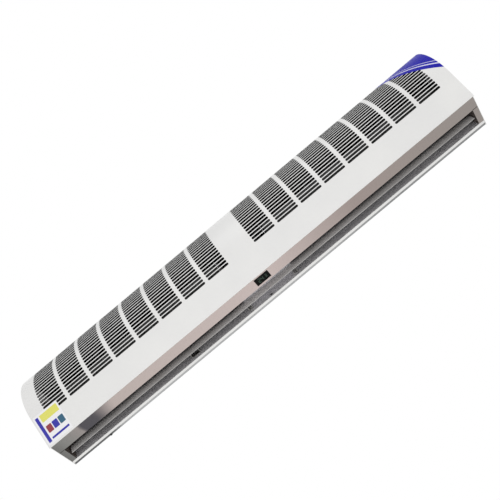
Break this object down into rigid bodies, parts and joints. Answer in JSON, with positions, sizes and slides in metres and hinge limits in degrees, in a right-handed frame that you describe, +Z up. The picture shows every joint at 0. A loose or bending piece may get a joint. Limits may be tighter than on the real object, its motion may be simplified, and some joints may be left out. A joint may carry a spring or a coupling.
{
  "type": "air curtain",
  "caption": "Wall-hung air curtain: curved white slotted case, polished outlet strip with a small display, cross-flow impellers on a middle motor, and a tilting outlet vane.",
  "frame": {"origin": "middle of the wall plate's back, on the wall", "axes": "+X along the length to the right as seen from the front, +Y into the wall, +Z up; the grille faces -Y and the air leaves along -Z"},
  "size_m": [1.5, 0.2119, 0.23],
  "materials": {
    "white_powder_coat": "smooth white powder coat on steel sheet, slight gloss; a black back coat inside the cover",
    "polished_steel": "mirror-polished stainless steel strip",
    "galvanised_steel": "galvanised steel sheet",
    "aluminium": "silver-grey lacquer on extruded aluminium, satin",
    "black_lacquer": "black lacquer on sheet metal, satin",
    "bright_steel": "zinc-plated or turned steel",
    "black_rubber": "matt black rubber",
    "black_acrylic": "gloss black, smoked",
    "motor_enamel": "grey enamel",
    "circuit_board": "green solder mask",
    "white_plastic": "moulded plastic, matt",
    "black_plastic": "moulded nylon, matt"
  },
  "bodies": {
    "case": {"wall_plate": "galvanised_steel", "rear_case": "white_powder_coat", "front_cover": "white_powder_coat", "end_plate_left": "white_powder_coat", "end_plate_right": "white_powder_coat", "outlet_frame": "polished_steel", "scroll_left": "galvanised_steel", "scroll_right": "galvanised_steel", "tongue_left": "galvanised_steel", "tongue_right": "galvanised_steel", "outer_cheek_left": "galvanised_steel", "outer_cheek_right": "galvanised_steel", "inner_cheek_left": "galvanised_steel", "inner_cheek_right": "galvanised_steel", "blanking_plate": "galvanised_steel", "vane_bracket_inner_left": "bright_steel", "vane_bracket_inner_right": "bright_steel", "vane_bracket_mid_left": "bright_steel", "motor_body": "motor_enamel", "motor_ring_left": "black_rubber", "motor_ring_right": "black_rubber", "motor_cradle": "galvanised_steel", "motor_clamp_left": "galvanised_steel", "motor_clamp_right": "galvanised_steel", "end_bearing_left": "bright_steel", "end_bearing_right": "bright_steel", "bearing_seat_left": "black_rubber", "bearing_seat_right": "black_rubber", "bearing_cup_left": "galvanised_steel", "bearing_cup_right": "galvanised_steel", "display_window": "black_acrylic", "display_module": "black_acrylic", "ir_receiver": "black_acrylic", "display_board": "circuit_board", "control_box": "galvanised_steel", "control_lid": "galvanised_steel", "control_board": "circuit_board", "capacitor": "white_plastic", "terminal_block": "white_plastic", "cable_grommet": "black_rubber", "end_screw_rear_low_left": "bright_steel", "end_screw_rear_low_right": "bright_steel", "end_screw_rear_high_left": "bright_steel", "end_screw_rear_high_right": "bright_steel", "end_screw_frame_left": "bright_steel", "end_screw_frame_right": "bright_steel"},
    "rotor": {"motor_shaft": "bright_steel", "wheel_hub_left": "black_rubber", "wheel_hub_right": "black_rubber", "impeller_left": "black_lacquer", "impeller_right": "black_lacquer", "stub_shaft_left": "bright_steel", "stub_shaft_right": "bright_steel"},
    "vane": {"louvre_vane": "aluminium", "vane_clip_end_left": "black_plastic", "vane_clip_end_right": "black_plastic", "vane_clip_inner_left": "black_plastic", "vane_clip_inner_right": "black_plastic", "vane_clip_mid_left": "black_plastic"}
  },
  "joints": [
    {"name": "impeller_spin", "type": "hinge", "parent": "case", "child": "rotor", "pos_m": [0, -0.088, 0.013], "axis": [-1, 0, 0], "continuous": true},
    {"name": "vane_tilt", "type": "hinge", "parent": "case", "child": "vane", "pos_m": [0, -0.0415, -0.096], "axis": [1, 0, 0], "range_deg": [-25, 25]}
  ]
}
